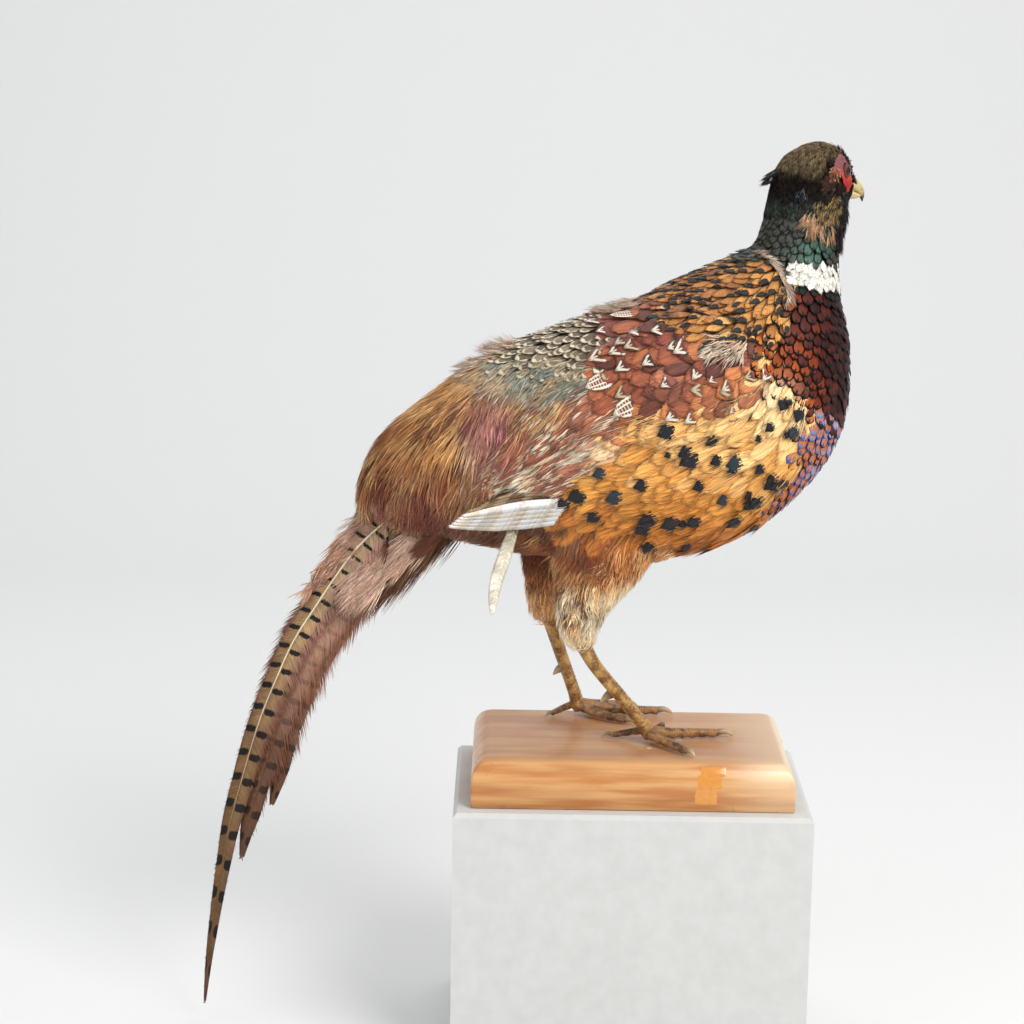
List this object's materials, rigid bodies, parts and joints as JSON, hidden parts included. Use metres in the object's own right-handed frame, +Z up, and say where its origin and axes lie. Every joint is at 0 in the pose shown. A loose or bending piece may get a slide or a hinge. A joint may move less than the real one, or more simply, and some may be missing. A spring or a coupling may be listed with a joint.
{
  "type": "taxidermy pheasant",
  "caption": "Life-size mounted cock pheasant standing on a moulded wooden base, head turned away, long barred tail hanging below the base beside a plain plinth",
  "frame": {"origin": "middle of the plinth's underside, on the floor", "axes": "+X the way the bird walks, +Y its left side, +Z up"},
  "size_m": [0.462, 0.1675, 0.6401],
  "materials": {
    "head_plumage": "short olive-brown and blackish feathers",
    "neck_plumage": "glossy dark green scale-like feathers",
    "collar_plumage": "white feathers",
    "breast_plumage": "glossy copper-maroon feathers edged black",
    "trunk_plumage": "golden flank feathers tipped black, maroon back",
    "rump_plumage": "long hair-like copper and grey-green feathers",
    "wing_plumage": "red-brown coverts with cream streaks",
    "pale_quills": "cream flight feathers",
    "tail_feathers": "buff-brown feathers barred black",
    "thigh_plumage": "soft buff and brown fluff",
    "leg_scales": "glossy golden-brown scales",
    "claws": "horn",
    "bill": "pale horn",
    "wattle": "red bare skin",
    "eyes": "polished",
    "wood": "varnished honey-coloured wood",
    "plinth": "matt white paint"
  },
  "bodies": {
    "root": {"stand_plinth": "plinth", "base": "wood", "head": "head_plumage", "nape_tuft": "neck_plumage", "bill_upper": "bill", "bill_lower": "bill", "neck": "neck_plumage", "neck_collar": "collar_plumage", "breast": "breast_plumage", "trunk": "trunk_plumage", "rump": "rump_plumage", "eye_right": "eyes", "wattle_right": "wattle", "wing_right_coverts": "wing_plumage", "wing_right_secondaries": "wing_plumage", "wing_right_primaries": "pale_quills", "thigh_right": "thigh_plumage", "shank_right": "leg_scales", "spur_right": "claws", "toe_right_middle": "leg_scales", "claw_right_middle": "claws", "toe_right_outer": "leg_scales", "claw_right_outer": "claws", "toe_right_inner": "leg_scales", "claw_right_inner": "claws", "toe_right_hind": "leg_scales", "claw_right_hind": "claws", "eye_left": "eyes", "wattle_left": "wattle", "wing_left_coverts": "wing_plumage", "wing_left_secondaries": "wing_plumage", "wing_left_primaries": "pale_quills", "thigh_left": "thigh_plumage", "shank_left": "leg_scales", "spur_left": "claws", "toe_left_middle": "leg_scales", "claw_left_middle": "claws", "toe_left_outer": "leg_scales", "claw_left_outer": "claws", "toe_left_inner": "leg_scales", "claw_left_inner": "claws", "toe_left_hind": "leg_scales", "claw_left_hind": "claws", "loose_feather": "pale_quills", "tail_centre_left": "tail_feathers", "tail_centre_right": "tail_feathers", "tail_second_left": "tail_feathers", "tail_second_right": "tail_feathers", "tail_third_left": "tail_feathers", "tail_third_right": "tail_feathers", "tail_outer_left": "tail_feathers", "tail_outer_right": "tail_feathers", "tail_coverts_above": "rump_plumage", "tail_coverts_below": "rump_plumage"}
  },
  "joints": []
}
